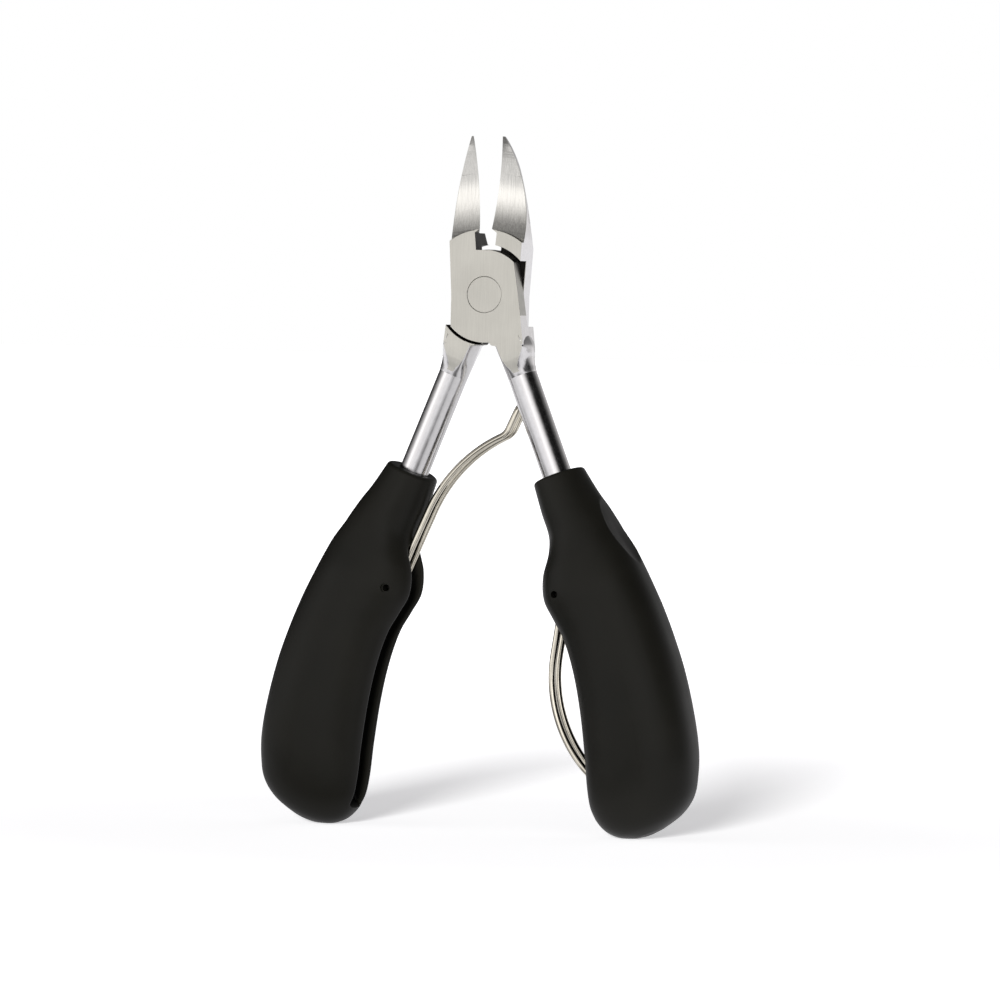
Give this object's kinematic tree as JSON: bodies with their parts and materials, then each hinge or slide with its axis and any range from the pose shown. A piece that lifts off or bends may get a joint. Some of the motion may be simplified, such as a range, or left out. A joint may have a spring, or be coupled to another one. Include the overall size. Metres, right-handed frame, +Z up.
{
  "type": "nail nipper",
  "caption": "Plier-type nail nipper with hollow-ground steel jaws, lap joint, round shanks, moulded black grips and fold-away wire hairpin springs",
  "frame": {"origin": "centre of the bounding box on the surface that both grip ends stand on", "axes": "Z up along the pliers with the jaws at the top; X across, from the left grip to the right grip; the front face looks along -Y"},
  "size_m": [0.0836, 0.017, 0.1265],
  "materials": {
    "steel": "fine brushed and satin",
    "rivet_steel": "ground flush",
    "grip": "satin black",
    "wire": "polished nickel"
  },
  "bodies": {
    "front_half": {"front_half": "steel", "pivot_rivet": "rivet_steel", "right_grip": "grip"},
    "rear_half": {"rear_half": "steel", "left_grip": "grip"},
    "left_spring": {"left_spring": "wire"},
    "right_spring": {"right_spring": "wire"}
  },
  "joints": [
    {"name": "jaw_pivot", "type": "hinge", "parent": "front_half", "child": "rear_half", "pos_m": [0, 0, 0.0978], "axis": [0, -1, 0], "range_deg": [0, 11.1], "stiffness_Nm_per_rad": 0.5, "springref_deg": -20.05, "deforming": ["left_spring"]},
    {"name": "left_spring_fold", "type": "hinge", "parent": "rear_half", "child": "left_spring", "pos_m": [-0.01625, 0, 0.04397], "axis": [0, 1, 0], "range_deg": [0, 155], "deforming": ["left_spring"]},
    {"name": "right_spring_fold", "type": "hinge", "parent": "front_half", "child": "right_spring", "pos_m": [0.01625, 0, 0.04397], "axis": [0, 1, 0], "range_deg": [0, 164], "deforming": ["right_spring"]}
  ]
}
